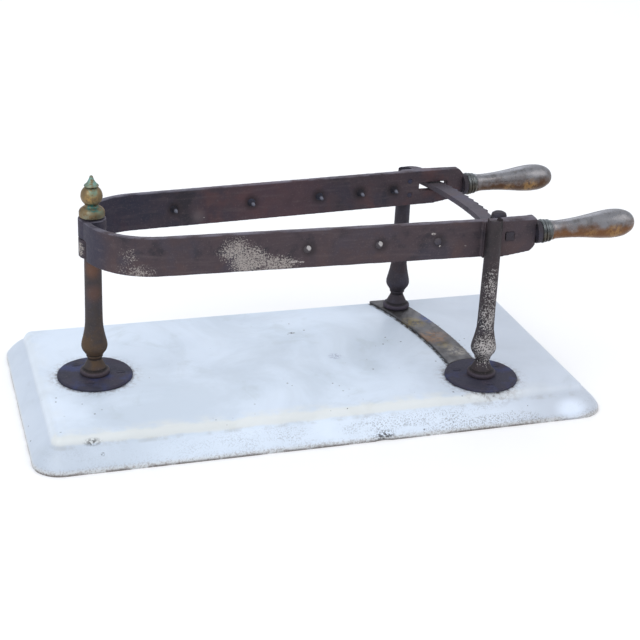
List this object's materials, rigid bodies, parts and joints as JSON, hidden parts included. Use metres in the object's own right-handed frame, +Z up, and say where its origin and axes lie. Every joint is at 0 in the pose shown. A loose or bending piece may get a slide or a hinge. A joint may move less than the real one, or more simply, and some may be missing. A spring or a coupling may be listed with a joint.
{
  "type": "butcher's ham clamp on a marble slab",
  "caption": "Two spiked iron arms hinged on a post over a marble slab; one swings on a curved track to grip a ham and is held by a toothed latch bar.",
  "frame": {"origin": "middle of the marble slab's underside, on the counter", "axes": "+X along the slab from the hinge post to the handles, +Y towards the swinging arm, +Z up"},
  "size_m": [0.6394, 0.3032, 0.2485],
  "materials": {
    "iron": "wrought and forged iron, dark brown-purple, worn and lightly rusted",
    "dark_iron": "dark iron with grime in the corners",
    "marble": "honed white marble, dirt in the moulding's step and edge",
    "lead": "dull lead, cast in place",
    "track_brass": "dull brown-grey brass strip, scuffed by the foot",
    "ferrule_brass": "tarnished grey-green brass",
    "handle_brass": "turned brass, grey patina over gold-brown",
    "finial_brass": "turned brass with verdigris in the hollows"
  },
  "bodies": {
    "base": {"marble_slab": "marble", "lead_plugs": "lead", "pivot_flange": "iron", "pivot_flange_screws": "dark_iron", "pivot_post": "iron", "fixed_flange": "iron", "fixed_flange_screws": "dark_iron", "fixed_post": "iron", "fixed_post_rivets": "iron", "slide_track": "track_brass", "track_pins": "track_brass", "fixed_arm": "iron", "fixed_arm_spikes": "iron", "fixed_collar": "dark_iron", "fixed_ferrule": "ferrule_brass", "fixed_handle": "handle_brass", "latch_bracket": "iron", "latch_pin": "iron", "hinge_washer": "dark_iron", "finial_nut": "finial_brass"},
    "swinging_arm": {"moving_arm": "iron", "moving_arm_spikes": "iron", "moving_post": "iron", "moving_post_rivets": "iron", "moving_collar": "dark_iron", "moving_ferrule": "ferrule_brass", "moving_handle": "handle_brass"},
    "latch_bar": {"ratchet_bar": "iron"}
  },
  "joints": [
    {"name": "arm_hinge", "type": "hinge", "parent": "base", "child": "swinging_arm", "pos_m": [-0.221, 0, 0.175], "axis": [0, 0, 1], "range_deg": [-14, 1.5]},
    {"name": "ratchet_swing", "type": "hinge", "parent": "base", "child": "latch_bar", "pos_m": [0.19972, -0.04598, 0.185], "axis": [0, 0, 1], "range_deg": [-0.5, 3]}
  ]
}
